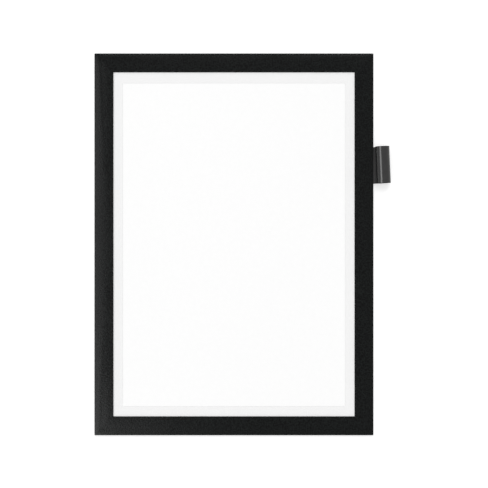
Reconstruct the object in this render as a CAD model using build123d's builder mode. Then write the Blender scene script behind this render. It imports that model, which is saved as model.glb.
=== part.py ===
"""Self-adhesive magnetic display frame for an A4 sheet, with a film loop for a pen at its edge.

A clear back panel sticks to a wall with four strips of adhesive film, and strips of thin steel run round
the sheet that lies on its front. The front is a black border film on a clear film, cut out in the middle
so that the sheet can be written on. Magnet strips behind it hold it shut against the steel, and it swings
open on a folded film hinge at its left-hand edge. The pen loop is one strip of film, bent round and closed
on itself, whose ends lie in a gap of the right-hand steel strip.

The frame stands upright: X to the right, Z up, the front towards -Y. The origin is the middle of the plane
where the adhesive meets the wall. Lengths are in millimetres.
"""

from build123d import *
from math import acos, degrees, sin
import os

# Insert sheet, and the room it has between the strips round it
sheet_width = 210.0
sheet_height = 297.0
sheet_thickness = 0.1
sheet_play = 0.5

# Strips of steel and of magnet round the sheet
strip_width = 12.0
strip_setback = 0.5  # from the edge of the frame
strip_gap = 0.3  # where the ends of two strips meet
magnet_thickness = 0.5

# Clear back panel and the adhesive behind it
panel_thickness = 0.5
corner_radius = 0.5  # of every die-cut outer corner
adhesive_thickness = 0.2
adhesive_width = 14.0
adhesive_setback = 1.0

# Front: a clear film that shows as a lip inside the black border
face_thickness = 0.4
face_border = 16.0
lip_thickness = 0.3
lip_side = 8.0
lip_top = 9.2
lip_bottom = 8.5

# Film hinge: two leaves and the round fold that joins them
hinge_thickness = 0.15
hinge_leaf = 5.0
hinge_leaf_gap = 0.5  # from the leaves to the strips beside them

# Pen loop, and the crease beside the frame's edge that it swings on
loop_thickness = 0.2
loop_bore = 11.6
loop_height = 31.0
loop_reach = 13.6  # how far it stands out from the frame's edge
loop_from_top = 94.7  # from the frame's top edge to the middle of the loop
loop_throat_radius = 1.2  # where the front layer turns up into the loop
crease_offset = 0.9  # from the frame's edge
crease_width = 0.5
tab_gap = 1.2  # from the loop's ends to the steel strips and the sheet's place

# Outline that holds the sheet and the strips
strip_inner_x = sheet_width / 2 + sheet_play
strip_inner_z = sheet_height / 2 + sheet_play
strip_outer_x = strip_inner_x + strip_width
strip_outer_z = strip_inner_z + strip_width
edge_x = strip_outer_x + strip_setback
edge_z = strip_outer_z + strip_setback

# Depths in front of the wall, at the rear face of each layer
steel_thickness = 2 * loop_thickness  # level with the two layers of the loop's ends
panel_depth = adhesive_thickness
steel_depth = panel_depth + panel_thickness
magnet_depth = steel_depth + steel_thickness
lip_depth = magnet_depth + magnet_thickness
face_depth = lip_depth + lip_thickness

os.makedirs("parts", exist_ok=True)


def save(piece, name):
    """Names a finished piece and writes it as its own file."""
    piece.part.label = name
    export_step(piece.part, f"parts/{name}.step")


def make_strip(name, depth, thickness, x_span, z_span):
    """A flat rectangular strip whose rear face lies at the given depth."""
    with BuildPart() as strip:
        with BuildSketch(Plane.XZ.offset(depth)):
            with Locations((sum(x_span) / 2, sum(z_span) / 2)):
                Rectangle(x_span[1] - x_span[0], z_span[1] - z_span[0])
        extrude(amount=thickness)
    save(strip, name)


# Clear back panel
with BuildPart() as back_panel:
    with BuildSketch(Plane.XZ.offset(panel_depth)):
        RectangleRounded(2 * edge_x, 2 * edge_z, corner_radius)
    extrude(amount=panel_thickness)
save(back_panel, "back_panel")

# Adhesive strips: two run across, two stand between them
adhesive_outer_x = edge_x - adhesive_setback
adhesive_outer_z = edge_z - adhesive_setback
adhesive_inner_x = adhesive_outer_x - adhesive_width
adhesive_inner_z = adhesive_outer_z - adhesive_width
adhesive_across = (-adhesive_outer_x, adhesive_outer_x)
adhesive_upright = (strip_gap - adhesive_inner_z, adhesive_inner_z - strip_gap)
adhesive_spans = {
    "top": (adhesive_across, (adhesive_inner_z, adhesive_outer_z)),
    "bottom": (adhesive_across, (-adhesive_outer_z, -adhesive_inner_z)),
    "left": ((-adhesive_outer_x, -adhesive_inner_x), adhesive_upright),
    "right": ((adhesive_inner_x, adhesive_outer_x), adhesive_upright),
}
for side, (x_span, z_span) in adhesive_spans.items():
    make_strip(f"adhesive_strip_{side}", 0, adhesive_thickness, x_span, z_span)

# Insert sheet
make_strip(
    "insert_sheet",
    steel_depth,
    sheet_thickness,
    (-sheet_width / 2, sheet_width / 2),
    (-sheet_height / 2, sheet_height / 2),
)

# Film hinge: one film folded round behind the strips' ends, between the panel and the front
fold_radius = (steel_thickness + magnet_thickness - hinge_thickness) / 2
hinge_fold_x = -edge_x + fold_radius + hinge_thickness / 2
hinge_leaf_end = hinge_fold_x + hinge_leaf
hinge_length = 2 * (strip_inner_z - strip_gap)
with BuildPart() as hinge_film:
    with BuildSketch(Plane.XY.offset(-hinge_length / 2)):
        with BuildLine():
            rear_leaf = Line(
                (hinge_leaf_end, -steel_depth - hinge_thickness / 2),
                (hinge_fold_x, -steel_depth - hinge_thickness / 2),
            )
            fold = JernArc(rear_leaf @ 1, rear_leaf % 1, fold_radius, 180)
            Line(fold @ 1, fold @ 1 + (hinge_leaf, 0))
        trace(line_width=hinge_thickness)
    extrude(amount=hinge_length)
save(hinge_film, "hinge_film")

# Pen loop, seen from above: its centre line leaves the ends' front layer, turns up through the throat,
# goes round the bore and comes back along the rear layer
loop_z = edge_z - loop_from_top
loop_radius = (loop_bore + loop_thickness) / 2
loop_center_x = edge_x + loop_reach - loop_bore / 2 - loop_thickness
rear_layer_y = -steel_depth - loop_thickness / 2
front_layer_y = rear_layer_y - loop_thickness
crease_x = edge_x + crease_offset
throat_turn = acos((loop_throat_radius + loop_thickness - loop_radius) / (loop_throat_radius + loop_radius))
throat_x = loop_center_x - (loop_throat_radius + loop_radius) * sin(throat_turn)
neck_start = crease_x + crease_width / 2
neck_end = throat_x + loop_thickness  # the layers are bonded a little way into the throat
with BuildPart() as pen_loop:
    with BuildSketch(Plane.XY.offset(loop_z - loop_height / 2)):
        with BuildLine():
            front_layer = Line((neck_start, front_layer_y), (throat_x, front_layer_y))
            throat = JernArc(front_layer @ 1, front_layer % 1, loop_throat_radius, -degrees(throat_turn))
            round_wall = JernArc(throat @ 1, throat % 1, loop_radius, 180 + degrees(throat_turn))
            Line(round_wall @ 1, (neck_start, rear_layer_y))
        trace(line_width=loop_thickness)
        with Locations(((neck_start + neck_end) / 2, (front_layer_y + rear_layer_y) / 2)):
            Rectangle(neck_end - neck_start, 2 * loop_thickness)
    extrude(amount=loop_height)
save(pen_loop, "pen_loop")

# The loop's ends, bonded to the back panel as far as the crease
loop_low = loop_z - loop_height / 2
loop_high = loop_z + loop_height / 2
make_strip(
    "pen_loop_tab",
    steel_depth,
    steel_thickness,
    (strip_inner_x + tab_gap, crease_x - crease_width / 2),
    (loop_low, loop_high),
)

# Steel strips on the back panel, with a gap on the right for the loop's ends
strip_across = (-strip_outer_x, strip_outer_x)
strip_left = (hinge_leaf_end + hinge_leaf_gap, -strip_inner_x)
strip_right = (strip_inner_x, strip_outer_x)
strip_end_z = strip_inner_z - strip_gap
steel_spans = {
    "top": (strip_across, (strip_inner_z, strip_outer_z)),
    "bottom": (strip_across, (-strip_outer_z, -strip_inner_z)),
    "left": (strip_left, (-strip_end_z, strip_end_z)),
    "right_upper": (strip_right, (loop_high + tab_gap, strip_end_z)),
    "right_lower": (strip_right, (-strip_end_z, loop_low - tab_gap)),
}
for side, (x_span, z_span) in steel_spans.items():
    make_strip(f"steel_strip_{side}", steel_depth, steel_thickness, x_span, z_span)

# Magnet strips on the front, over the steel
magnet_spans = {
    "top": steel_spans["top"],
    "bottom": steel_spans["bottom"],
    "left": steel_spans["left"],
    "right": (strip_right, (-strip_end_z, strip_end_z)),
}
for side, (x_span, z_span) in magnet_spans.items():
    make_strip(f"magnet_strip_{side}", magnet_depth, magnet_thickness, x_span, z_span)

# Clear film of the front, with the window that the sheet is written on through
window_side = edge_x - face_border - lip_side
window_top = edge_z - face_border - lip_top
window_bottom = -edge_z + face_border + lip_bottom
with BuildPart() as window_lip:
    with BuildSketch(Plane.XZ.offset(lip_depth)):
        RectangleRounded(2 * edge_x, 2 * edge_z, corner_radius)
        with Locations((0, (window_top + window_bottom) / 2)):
            RectangleRounded(
                2 * window_side, window_top - window_bottom, corner_radius, mode=Mode.SUBTRACT
            )
    extrude(amount=lip_thickness)
save(window_lip, "window_lip")

# Black border film
with BuildPart() as front_face:
    with BuildSketch(Plane.XZ.offset(face_depth)):
        RectangleRounded(2 * edge_x, 2 * edge_z, corner_radius)
        RectangleRounded(
            2 * (edge_x - face_border), 2 * (edge_z - face_border), corner_radius, mode=Mode.SUBTRACT
        )
    extrude(amount=face_thickness)
save(front_face, "front_face")
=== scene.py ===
from math import acos, cos, pi, radians, sin

import bmesh
import bpy
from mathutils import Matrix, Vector


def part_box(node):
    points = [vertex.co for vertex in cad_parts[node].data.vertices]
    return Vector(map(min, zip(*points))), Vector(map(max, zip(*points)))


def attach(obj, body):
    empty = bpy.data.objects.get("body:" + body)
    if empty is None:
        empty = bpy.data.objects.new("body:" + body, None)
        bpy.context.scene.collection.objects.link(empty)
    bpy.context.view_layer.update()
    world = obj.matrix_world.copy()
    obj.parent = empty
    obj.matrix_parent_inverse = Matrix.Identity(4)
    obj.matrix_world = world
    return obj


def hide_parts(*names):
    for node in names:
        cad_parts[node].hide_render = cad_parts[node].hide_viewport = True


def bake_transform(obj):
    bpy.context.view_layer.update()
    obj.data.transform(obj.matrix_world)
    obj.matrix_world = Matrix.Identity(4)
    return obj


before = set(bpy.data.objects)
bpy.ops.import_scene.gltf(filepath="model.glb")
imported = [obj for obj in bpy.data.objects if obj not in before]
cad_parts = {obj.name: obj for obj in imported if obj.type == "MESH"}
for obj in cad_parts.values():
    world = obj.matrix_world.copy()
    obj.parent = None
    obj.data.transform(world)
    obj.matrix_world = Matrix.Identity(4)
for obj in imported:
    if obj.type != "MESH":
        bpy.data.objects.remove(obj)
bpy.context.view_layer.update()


# Back panel
# A sheet of clear rigid vinyl, die-cut to the outline of the frame. It carries the steel strips, the
# pen loop and the hinge on its front and the adhesive on its back, and the sheet of paper lies on it.
panel_low, panel_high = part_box("back_panel")
die_radius = 0.0005  # of the die's corners
knife_round = 0.00006  # how far a cut edge is rounded over
cut_angle = radians(50)  # an edge sharper than this is a cut one
smooth_angle = radians(20)  # a bend softer than this is shaded smooth
touching = 0.000001  # points as close as this are merged
air = 0.00001  # between a clear film and what is bonded to it, so that each face shows by itself
facing = 0.95  # a film's faces point at least this much forward or back, and its cut edges less


def cut_blank(name, low, high, depth):
    """A flat sheet that faces forward at a depth, cut to the width and height of a box."""
    bpy.ops.object.select_all(action="DESELECT")
    middle = (low + high) / 2
    place = (middle.x, depth, middle.z)
    bpy.ops.mesh.primitive_plane_add(size=1, location=place, rotation=(pi / 2, 0, 0))
    blank = bpy.context.object
    blank.name = blank.data.name = name
    blank.scale = (high.x - low.x, high.z - low.z, 1)
    bpy.ops.object.transform_apply()
    return blank


def round_corners():
    """Rounds the corners of the flat sheet that is active."""
    bpy.ops.object.mode_set(mode="EDIT")
    bpy.ops.mesh.select_all(action="SELECT")
    bpy.ops.mesh.bevel(offset=die_radius, segments=6, affect="VERTICES")
    bpy.ops.object.mode_set(mode="OBJECT")


def thicken(piece, thickness, side):
    """Gives the active sheet a thickness, all to its front for side 1 and half each way for side 0."""
    wall = piece.modifiers.new("wall", "SOLIDIFY")
    wall.thickness = thickness
    wall.offset = side
    wall.use_even_offset = True
    bpy.ops.object.modifier_apply(modifier="wall")


def ease_edges(piece):
    """Rounds over the cut edges of the active piece, merges rounds that meet, and smooths its bends."""
    edge = piece.modifiers.new("edge", "BEVEL")
    edge.width = knife_round
    edge.segments = 2
    edge.limit_method = "ANGLE"
    edge.angle_limit = cut_angle
    bpy.ops.object.modifier_apply(modifier="edge")
    bpy.ops.object.mode_set(mode="EDIT")
    bpy.ops.mesh.select_all(action="SELECT")
    bpy.ops.mesh.remove_doubles(threshold=touching)
    bpy.ops.object.mode_set(mode="OBJECT")
    bpy.ops.object.shade_smooth_by_angle(angle=smooth_angle)


def start_material(name):
    """A new material: itself, its node tree, its main shader, and the place on the piece in metres."""
    material = bpy.data.materials.new(name)
    material.use_nodes = True
    tree = material.node_tree
    place = tree.nodes.new("ShaderNodeTexCoord").outputs["Object"]
    return material, tree, tree.nodes["Principled BSDF"], place


def add_node(tree, kind, output, inputs, **settings):
    """Adds a shader node, sets or links its inputs by name or number, and returns the named output."""
    node = tree.nodes.new("ShaderNode" + kind)
    for name, value in settings.items():
        setattr(node, name, value)
    for name, value in inputs.items():
        if isinstance(value, bpy.types.NodeSocket):
            tree.links.new(value, node.inputs[name])
        else:
            node.inputs[name].default_value = value
    return node.outputs[output]


def mottle(tree, place, size, detail=2.0):
    """Cloudy noise from 0 to 1 whose patches are about the given size in metres."""
    return add_node(tree, "TexNoise", "Fac", {"Vector": place, "Scale": 1 / size, "Detail": detail})


def varied(tree, shader, socket, noise, low, high):
    """Takes a shader's input from one number to another, over the middle of a noise's range."""
    spread = {"Value": noise, "From Min": 0.3, "From Max": 0.7, "To Min": low, "To Max": high}
    tree.links.new(add_node(tree, "MapRange", "Result", spread), shader.inputs[socket])


def bumped(tree, shader, height, depth):
    """Lifts the shader's surface by a height from 0 to 1, times a depth in metres."""
    bump = add_node(tree, "Bump", "Normal", {"Height": height, "Distance": depth})
    tree.links.new(bump, shader.inputs["Normal"])


def clear_vinyl():
    """Clear film with the slight waviness of a calendered sheet and the faint haze of handling."""
    material, tree, shader, place = start_material("clear_vinyl")
    shader.inputs["Base Color"].default_value = (0.917, 0.917, 0.917, 1)
    shader.inputs["Transmission Weight"].default_value = 1.0
    shader.inputs["IOR"].default_value = 1.5
    haze = mottle(tree, place, size=0.03, detail=4.0)
    varied(tree, shader, "Roughness", haze, low=0.03, high=0.09)
    waves = mottle(tree, place, size=0.02)
    bumped(tree, shader, waves, depth=0.00003)
    return material


def shaded_cut_vinyl():
    """Dark grey painted on the film's cut edges as painted shade, for the dark line a clear edge shows,
    with the fine roughness that the die leaves.
    """
    material, tree, shader, place = start_material("shaded_cut_vinyl")
    scores = mottle(tree, place, size=0.0003, detail=3.0)
    varied(tree, shader, "Base Color", scores, low=0.12, high=0.25)
    varied(tree, shader, "Roughness", scores, low=0.5, high=0.7)
    bumped(tree, shader, scores, depth=0.00001)
    return material


def finish_film(film):
    """Gives a clear film its faces, and its cut edges the dark grey of painted shade. Lamps and bounced
    light pass it unchanged.
    """
    film.data.materials.append(clear_film)
    film.data.materials.append(shaded_cut_edge)
    for face in film.data.polygons:
        face.material_index = int(abs(face.normal.y) < facing)
    film.visible_shadow = False
    film.visible_diffuse = False


clear_film = clear_vinyl()
# painted shade: dark grey for the clear films' cut edges
shaded_cut_edge = shaded_cut_vinyl()
back_sheet = cut_blank("back_sheet", panel_low, panel_high, panel_high.y - air)
round_corners()
thicken(back_sheet, panel_high.y - panel_low.y - 2 * air, side=1)
ease_edges(back_sheet)
finish_film(back_sheet)
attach(back_sheet, "back")
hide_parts("back_panel")


# Adhesive strips
# Four lengths of double-sided acrylic film on the back of the panel, behind the border. They are clear
# but hazy, with small bubbles where they were rolled on.
bubble_spacing = 0.004


def toned(tree, shader, noise, dark, pale, low=0.0, high=1.0):
    """Colours the shader from one tone to another as a noise runs from low to high."""
    tone = add_node(tree, "ValToRGB", "Color", {"Fac": noise})
    first, last = tone.node.color_ramp.elements
    first.position = low
    first.color = (*dark, 1)
    last.position = high
    last.color = (*pale, 1)
    tree.links.new(tone, shader.inputs["Base Color"])


def hazy_adhesive():
    """Hazy acrylic film with small bubbles."""
    material, tree, shader, place = start_material("hazy_adhesive")
    haze = mottle(tree, place, size=0.006, detail=3.0)
    cloudy = (0.76, 0.77, 0.74)
    milky = (0.92, 0.93, 0.91)
    toned(tree, shader, haze, cloudy, milky)
    varied(tree, shader, "Roughness", haze, low=0.25, high=0.45)
    shader.inputs["Alpha"].default_value = 0.45
    cells = add_node(tree, "TexVoronoi", "Distance", {"Vector": place, "Scale": 1 / bubble_spacing})
    bubbles = add_node(tree, "MapRange", "Result", {"Value": cells, "From Min": 0.05, "From Max": 0.3})
    bumped(tree, shader, bubbles, depth=0.00002)
    return material


def dress(node_name, material):
    """Gives a CAD node a material in place of its own."""
    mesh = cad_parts[node_name].data
    mesh.materials.clear()
    mesh.materials.append(material)


adhesive = hazy_adhesive()
for side in ("top", "bottom", "left", "right"):
    dress(f"adhesive_strip_{side}", adhesive)


# Steel strips
# Five lengths of thin steel strip, slit from coil, coated black and bonded to the front of the panel
# round the sheet. The coating has the fine orange peel of a baked lacquer.
def black_lacquer():
    """Satin black lacquer on steel, with orange peel and a trace of handling."""
    material, tree, shader, place = start_material("black_lacquer")
    smears = mottle(tree, place, size=0.012, detail=4.0)
    varied(tree, shader, "Base Color", smears, low=0.016, high=0.026)
    varied(tree, shader, "Roughness", smears, low=0.3, high=0.42)
    peel = mottle(tree, place, size=0.0009)
    bumped(tree, shader, peel, depth=0.00001)
    return material


lacquer = black_lacquer()
for side in ("top", "bottom", "left", "right_upper", "right_lower"):
    dress(f"steel_strip_{side}", lacquer)


# Pen loop
# One strip of glossy black polyester film. Its two ends lie on each other and are bonded to the panel
# in a gap of the steel; past the frame's edge they are creased, and the film goes round into a loop.
# The strip was stuck on a little out of true, so the loop leans towards the frame at its top.
loop_low, loop_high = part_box("pen_loop")
tab_low, tab_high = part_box("pen_loop_tab")
ply = (tab_high.y - tab_low.y) / 2
ply_gap = 0.00002  # between the two plies
throat_radius = 0.0012  # of the centre line, where the front ply turns up into the loop
loop_radius = (loop_high.y - loop_low.y - ply) / 2
loop_x = loop_high.x - ply / 2 - loop_radius
loop_y = loop_low.y + ply / 2 + loop_radius
front_ply_y = tab_low.y + ply / 2
throat_turn = acos((throat_radius + ply - loop_radius) / (throat_radius + loop_radius))
throat_x = loop_x - (throat_radius + loop_radius) * sin(throat_turn)
crease_low = tab_high.x
crease_high = loop_low.x
crease_lines = 6  # steps over the crease, so that it bends in a curve
loop_lean = radians(2.4)


def pick(piece, test):
    """Selects, in edit mode, the vertices whose place passes the test, with the edges between them."""
    bpy.ops.mesh.select_all(action="DESELECT")
    mesh = bmesh.from_edit_mesh(piece.data)
    for vertex in mesh.verts:
        vertex.select = test(vertex.co)
    mesh.select_flush(True)
    bmesh.update_edit_mesh(piece.data)


def pull_edge(length):
    """Draws the selected edge out to the right by a length, or to the left by a negative one."""
    bpy.ops.mesh.extrude_region_move(TRANSFORM_OT_translate={"value": (length, 0, 0)})


def wind_edge(angle, x, y, steps):
    """Winds the selected edge round an upright axis, to the left from above for a positive angle."""
    bpy.ops.mesh.spin(steps=steps, angle=-angle, center=(x, y, 0), axis=(0, 0, 1))


def cross_crease(way):
    """Draws the selected edge over the crease in even steps, rightwards for way 1, leftwards for -1."""
    step = (crease_high - crease_low) / crease_lines
    for _ in range(crease_lines):
        pull_edge(way * step)


pen_film = cut_blank("pen_film", tab_low, tab_high, front_ply_y)
bpy.ops.object.mode_set(mode="EDIT")
pick(pen_film, lambda place: place.x > crease_low - air)
cross_crease(1)
pull_edge(throat_x - crease_high)
wind_edge(-throat_turn, throat_x, front_ply_y - throat_radius, steps=10)
wind_edge(pi + throat_turn, loop_x, loop_y, steps=64)
pull_edge(crease_high - loop_x)
cross_crease(-1)
pull_edge(tab_low.x - tab_high.x)
bpy.ops.object.mode_set(mode="OBJECT")
thicken(pen_film, ply - ply_gap, side=0)
ease_edges(pen_film)
crease_middle = Vector((
    (crease_low + crease_high) / 2,
    (tab_low.y + tab_high.y) / 2,
    (tab_low.z + tab_high.z) / 2,
))
bpy.ops.object.mode_set(mode="EDIT")
bpy.ops.mesh.select_all(action="SELECT")
bpy.ops.transform.rotate(value=loop_lean, orient_axis="Y", center_override=crease_middle)
bpy.ops.object.mode_set(mode="OBJECT")


def gloss_film():
    """Glossy black film, a little cloudy, with fine lines along its length from the calender."""
    material, tree, shader, place = start_material("gloss_film")
    cloud = mottle(tree, place, size=0.004, detail=3.0)
    varied(tree, shader, "Base Color", cloud, low=0.006, high=0.012)
    varied(tree, shader, "Roughness", cloud, low=0.14, high=0.22)
    along = add_node(tree, "Mapping", "Vector", {"Vector": place, "Scale": (0.15, 0.15, 1)})
    lines = mottle(tree, along, size=0.0015)
    bumped(tree, shader, lines, depth=0.00001)
    return material


pen_film.data.materials.append(gloss_film())
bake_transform(pen_film)
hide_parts("pen_loop", "pen_loop_tab")


# Hinge film
# A black polyester tape, folded once down its length, that joins the front to the panel along the
# left-hand edge. One leaf is bonded to the panel and the other to the front.
hinge_low, hinge_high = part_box("hinge_film")
tape = 0.00015  # its thickness
fold_radius = (hinge_high.y - hinge_low.y - tape) / 2
fold_x = hinge_low.x + tape / 2 + fold_radius
fold_y = (hinge_low.y + hinge_high.y) / 2
leaf_low = Vector((fold_x, 0, hinge_low.z))
hinge_tape = cut_blank("hinge_tape", leaf_low, hinge_high, hinge_high.y - tape / 2)
bpy.ops.object.mode_set(mode="EDIT")
pick(hinge_tape, lambda place: place.x < fold_x + air)
wind_edge(pi, fold_x, fold_y, steps=24)
pull_edge(hinge_high.x - fold_x)
bpy.ops.object.mode_set(mode="OBJECT")
thicken(hinge_tape, tape - 2 * air, side=0)
ease_edges(hinge_tape)


def satin_tape():
    """Satin black tape with fine lines down its length."""
    material, tree, shader, place = start_material("satin_tape")
    along = add_node(tree, "Mapping", "Vector", {"Vector": place, "Scale": (1, 1, 0.04)})
    lines = mottle(tree, along, size=0.0004, detail=3.0)
    varied(tree, shader, "Base Color", lines, low=0.008, high=0.014)
    varied(tree, shader, "Roughness", lines, low=0.32, high=0.46)
    bumped(tree, shader, lines, depth=0.00001)
    return material


hinge_tape.data.materials.append(satin_tape())
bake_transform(hinge_tape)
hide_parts("hinge_film")


# Sheet of paper
# A blank A4 sheet of white office paper, slipped in between the strips. It is not quite flat: its
# middle lies on the panel, with a slight wave, and its edges curl forward to the front's film.
sheet_low, sheet_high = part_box("insert_sheet")
wave_height = 0.0002
wave_size = 0.12
curl_height = 0.00055  # how far its edges stand off the panel
curl_reach = 0.045  # how far in from an edge the curl begins
paper_sheet = cut_blank("paper_sheet", sheet_low, sheet_high, sheet_high.y - air)
bpy.ops.object.mode_set(mode="EDIT")
bpy.ops.mesh.select_all(action="SELECT")
bpy.ops.mesh.subdivide(number_cuts=40)
pick(
    paper_sheet,
    lambda place: abs(place.x) > sheet_high.x - air or abs(place.z) > sheet_high.z - air,
)
bpy.ops.transform.translate(
    value=(0, -curl_height, 0),
    use_proportional_edit=True,
    proportional_edit_falloff="SMOOTH",
    proportional_size=curl_reach,
)
bpy.ops.object.mode_set(mode="OBJECT")
cockle = bpy.data.textures.new("cockle", "CLOUDS")
cockle.noise_scale = wave_size
wavy = paper_sheet.modifiers.new("wavy", "DISPLACE")
wavy.texture = cockle
wavy.texture_coords = "LOCAL"
wavy.strength = wave_height
wavy.mid_level = 0
bpy.ops.object.modifier_apply(modifier="wavy")
thicken(paper_sheet, sheet_high.y - sheet_low.y, side=1)
ease_edges(paper_sheet)


def white_paper():
    """Uncoated white paper with the cloudy look of its fibres and a fine tooth."""
    material, tree, shader, place = start_material("white_paper")
    cloud = mottle(tree, place, size=0.003, detail=4.0)
    dull = (0.923, 0.923, 0.923)
    bright = (0.935, 0.935, 0.934)
    toned(tree, shader, cloud, dull, bright, low=0.3, high=0.7)
    shader.inputs["Specular IOR Level"].default_value = 0.1
    varied(tree, shader, "Roughness", cloud, low=0.85, high=0.95)
    tooth = mottle(tree, place, size=0.0002)
    bumped(tree, shader, tooth, depth=0.000004)
    return material


paper_sheet.data.materials.append(white_paper())
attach(paper_sheet, "back")
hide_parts("insert_sheet")


# Magnet strips
# Four lengths of flexible magnet, ferrite powder in rubber, extruded flat and bonded behind the
# front's film. They are a dull brown black, with fine lines along their length from the die.
def ferrite_rubber(name, along):
    """Dull ferrite rubber with die lines along the axis on which the scale is small."""
    material, tree, shader, place = start_material(name)
    stretched = add_node(tree, "Mapping", "Vector", {"Vector": place, "Scale": along})
    lines = mottle(tree, stretched, size=0.0005, detail=4.0)
    brown_black = (0.022, 0.019, 0.017)
    rubbed = (0.04, 0.035, 0.031)
    toned(tree, shader, lines, brown_black, rubbed, low=0.3, high=0.7)
    varied(tree, shader, "Roughness", lines, low=0.6, high=0.75)
    bumped(tree, shader, lines, depth=0.00002)
    return material


magnet_across = ferrite_rubber("ferrite_rubber_across", (0.02, 1, 1))
for side in ("top", "bottom"):
    dress(f"magnet_strip_{side}", magnet_across)
magnet_upright = ferrite_rubber("ferrite_rubber_upright", (1, 1, 0.02))
for side in ("left", "right"):
    dress(f"magnet_strip_{side}", magnet_upright)


# Window lip
# The front's clear vinyl film, the size of the whole frame, with the writing window cut out of it. The
# magnets are bonded behind it and the black border before it, and its lip holds down the sheet's edges.
lip_low, lip_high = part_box("window_lip")
window_side = 0.024  # from the outer edge to the window
window_head = 0.0252
window_foot = 0.0245
rim_press = 0.00022  # how far each film of the front is pressed thinner at its outer edge
rim_reach = 0.014  # how far in from the edge that fades out


def cut_window(blank, opening):
    """Joins an opening's outline to a sheet's, and fills the border between the two in fine rows."""
    bpy.ops.object.select_all(action="DESELECT")
    opening.select_set(True)
    blank.select_set(True)
    bpy.context.view_layer.objects.active = blank
    bpy.ops.object.join()
    bpy.ops.object.mode_set(mode="EDIT")
    bpy.ops.mesh.select_all(action="SELECT")
    bpy.ops.mesh.delete(type="ONLY_FACE")
    bpy.ops.mesh.select_all(action="DESELECT")
    mesh = bmesh.from_edit_mesh(blank.data)
    for edge in mesh.edges:
        edge.select_set(edge.calc_length() > 2 * die_radius)
    bmesh.update_edit_mesh(blank.data)
    bpy.ops.mesh.subdivide(number_cuts=40)
    bpy.ops.mesh.select_all(action="SELECT")
    bpy.ops.mesh.bridge_edge_loops(number_cuts=19, interpolation="LINEAR")
    bpy.ops.object.mode_set(mode="OBJECT")
    if blank.data.polygons[0].normal.y > 0:
        bpy.ops.object.mode_set(mode="EDIT")
        bpy.ops.mesh.flip_normals()
        bpy.ops.object.mode_set(mode="OBJECT")


def press_rim(film, low, high, front_only):
    """Presses back a film's outer edge, or that of its front face alone, less and less on the way in."""
    bpy.ops.object.mode_set(mode="EDIT")
    if front_only:
        bpy.ops.mesh.select_all(action="DESELECT")
        mesh = bmesh.from_edit_mesh(film.data)
        for face in mesh.faces:
            if face.normal.y < -facing:
                face.select_set(True)
        bmesh.update_edit_mesh(film.data)
        bpy.ops.mesh.hide(unselected=True)
    inner_low = low + Vector((1, 0, 1)) * die_radius / 2
    inner_high = high - Vector((1, 0, 1)) * die_radius / 2

    def on_rim(place):
        """Whether a place is at the film's outer edge."""
        inside_x = inner_low.x < place.x < inner_high.x
        inside_z = inner_low.z < place.z < inner_high.z
        return not (inside_x and inside_z)

    pick(film, on_rim)
    bpy.ops.transform.translate(
        value=(0, rim_press, 0),
        use_proportional_edit=True,
        proportional_edit_falloff="SHARP",
        proportional_size=rim_reach,
    )
    bpy.ops.mesh.reveal(select=False)
    bpy.ops.object.mode_set(mode="OBJECT")


window_low = lip_low + Vector((window_side, 0, window_foot))
window_high = lip_high - Vector((window_side, 0, window_head))
front_film = cut_blank("front_film", lip_low, lip_high, lip_high.y - air)
round_corners()
window = cut_blank("window", window_low, window_high, lip_high.y - air)
round_corners()
cut_window(front_film, window)
thicken(front_film, lip_high.y - lip_low.y - 2 * air, side=1)
press_rim(front_film, lip_low, lip_high, front_only=True)
ease_edges(front_film)
finish_film(front_film)
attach(front_film, "front")
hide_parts("window_lip")


# Black border
# A die-cut border of satin black film with a fine embossed grain, bonded to the front of the clear
# film. It is bare all round, and its outer edge is pressed down a little where the die sealed it.
face_low, face_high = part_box("front_face")
border_width = 0.016


def black_satin():
    """Satin black film with a fine embossed grain whose pits are painted darker as painted shade, and
    patches where it was handled.
    """
    material, tree, shader, place = start_material("black_satin")
    grain = mottle(tree, place, size=0.001)
    # painted shade: the grain's pits darker than its ridges, by the same noise that lifts the bump
    painted_pit_shade = (0.0001, 0.0001, 0.0002)
    ridges = (0.006, 0.0074, 0.007)
    toned(tree, shader, grain, painted_pit_shade, ridges, low=0.42, high=0.58)
    patches = mottle(tree, place, size=0.045)
    varied(tree, shader, "Roughness", patches, low=0.12, high=0.2)
    shader.inputs["Specular IOR Level"].default_value = 0.1
    bumped(tree, shader, grain, depth=0.00005)
    return material


border_low = face_low + Vector((border_width, 0, border_width))
border_high = face_high - Vector((border_width, 0, border_width))
border_film = cut_blank("border_film", face_low, face_high, face_high.y)
round_corners()
border_opening = cut_blank("border_opening", border_low, border_high, face_high.y)
round_corners()
cut_window(border_film, border_opening)
thicken(border_film, face_high.y - face_low.y, side=1)
press_rim(border_film, face_low, face_high, front_only=False)
press_rim(border_film, face_low, face_high, front_only=True)
ease_edges(border_film)
border_film.data.materials.append(black_satin())
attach(border_film, "front")
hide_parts("front_face")


# Studio
# A white wall just behind the frame, which takes its shadow and is clear from behind, and a soft white
# room with four large lamps far off: one above, two at the left and one low at the left. The camera is
# square on, a little to the right of the frame's middle.
wall_width = 4
wall_gap = 0.0005
wall_tone = 0.9
wall_glow = 0.47
room_light = 0.56
camera_place = (0.0085, -1.1, 0.0003)
camera_lens = 95.75

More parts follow.
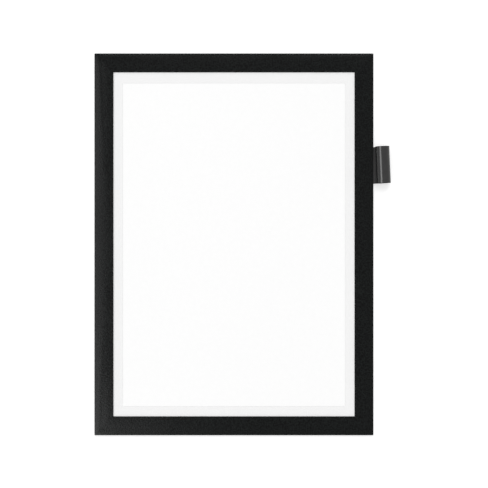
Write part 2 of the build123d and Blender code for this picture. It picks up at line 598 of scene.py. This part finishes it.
bpy.ops.object.select_all(action="DESELECT")
bpy.ops.mesh.primitive_plane_add(size=wall_width, location=(0, wall_gap, 0), rotation=(pi / 2, 0, 0))
wall = bpy.context.object
wall.name = "wall"
wall.visible_diffuse = False
wall.visible_glossy = False
wall.visible_transmission = False
wall.visible_shadow = False
white, wall_tree, wall_shader, _ = start_material("white_wall")
wall_tree.nodes.remove(wall_shader)
lit = add_node(wall_tree, "BsdfDiffuse", "BSDF", {"Color": (wall_tone, wall_tone, wall_tone, 1)})
glow = add_node(wall_tree, "Emission", "Emission", {"Strength": wall_glow})
both = add_node(wall_tree, "AddShader", "Shader", {0: lit, 1: glow})
behind = add_node(wall_tree, "NewGeometry", "Backfacing", {})
clear = add_node(wall_tree, "BsdfTransparent", "BSDF", {})
one_sided = add_node(wall_tree, "MixShader", "Shader", {0: behind, 1: both, 2: clear})
wall_tree.links.new(one_sided, wall_tree.nodes["Material Output"].inputs["Surface"])
wall.data.materials.append(white)

# The room shows as plain white to the camera, in gloss and through film, and lights dull faces less
world = bpy.data.worlds.new("room")
bpy.context.scene.world = world
world.use_nodes = True
room = world.node_tree
path = room.nodes.new("ShaderNodeLightPath").outputs
either = {0: path["Is Camera Ray"], 1: path["Is Glossy Ray"]}
seen = add_node(room, "Math", "Value", either, operation="MAXIMUM")
shown = add_node(room, "Math", "Value", {0: seen, 1: path["Is Transmission Ray"]}, operation="MAXIMUM")
direct = add_node(room, "Math", "Value", {0: path["Diffuse Depth"], 1: 0.5}, operation="LESS_THAN")
plain = add_node(room, "Math", "Value", {0: shown, 1: direct}, operation="MULTIPLY")
level = add_node(room, "MapRange", "Result", {"Value": plain, "To Min": room_light, "To Max": 1.0})
room.nodes["Background"].inputs["Color"].default_value = (1, 1, 1, 1)
room.links.new(level, room.nodes["Background"].inputs["Strength"])


def add_lamp(name, place, width, height, power):
    """A flat soft lamp that faces the middle of the frame, with its power in watts per square metre."""
    bpy.ops.object.light_add(type="AREA", location=place)
    lamp = bpy.context.object
    lamp.name = lamp.data.name = name
    lamp.rotation_euler = (-Vector(place)).to_track_quat("-Z", "Y").to_euler()
    lamp.data.shape = "RECTANGLE"
    lamp.data.size = width
    lamp.data.size_y = height
    lamp.data.energy = power * width * height
    return lamp


def keep_off(lamp, *shaded):
    """Keeps a lamp's light off the objects given."""
    dark = bpy.data.collections.new(f"{lamp.name}_off")
    for item in shaded:
        dark.objects.link(item)
    for entry in dark.collection_objects:
        entry.light_linking.link_state = "EXCLUDE"
    lamp.light_linking.receiver_collection = dark


add_lamp("top_lamp", place=(0.5, -6.05, 3.55), width=3.0, height=2.6, power=13.8)
left_lamp = add_lamp("left_lamp", place=(-4.55, -5.59, 0.0), width=3.0, height=2.6, power=13.8)
near_lamp = add_lamp("near_lamp", place=(-2.11, -6.56, 0.0), width=1.56, height=2.6, power=11.0)
low_lamp = add_lamp("low_lamp", place=(-1.5, -6.05, -1.75), width=1.6, height=1.6, power=13.8)
keep_off(left_lamp, wall)
keep_off(near_lamp, wall, pen_film, front_film, back_sheet)
keep_off(low_lamp, wall, pen_film, front_film, back_sheet)

bpy.ops.object.camera_add(location=camera_place, rotation=(pi / 2, 0, 0))
camera = bpy.context.object
camera.data.lens = camera_lens
camera.data.clip_start = 0.01
bpy.context.scene.camera = camera
bpy.context.scene.view_settings.view_transform = "Standard"
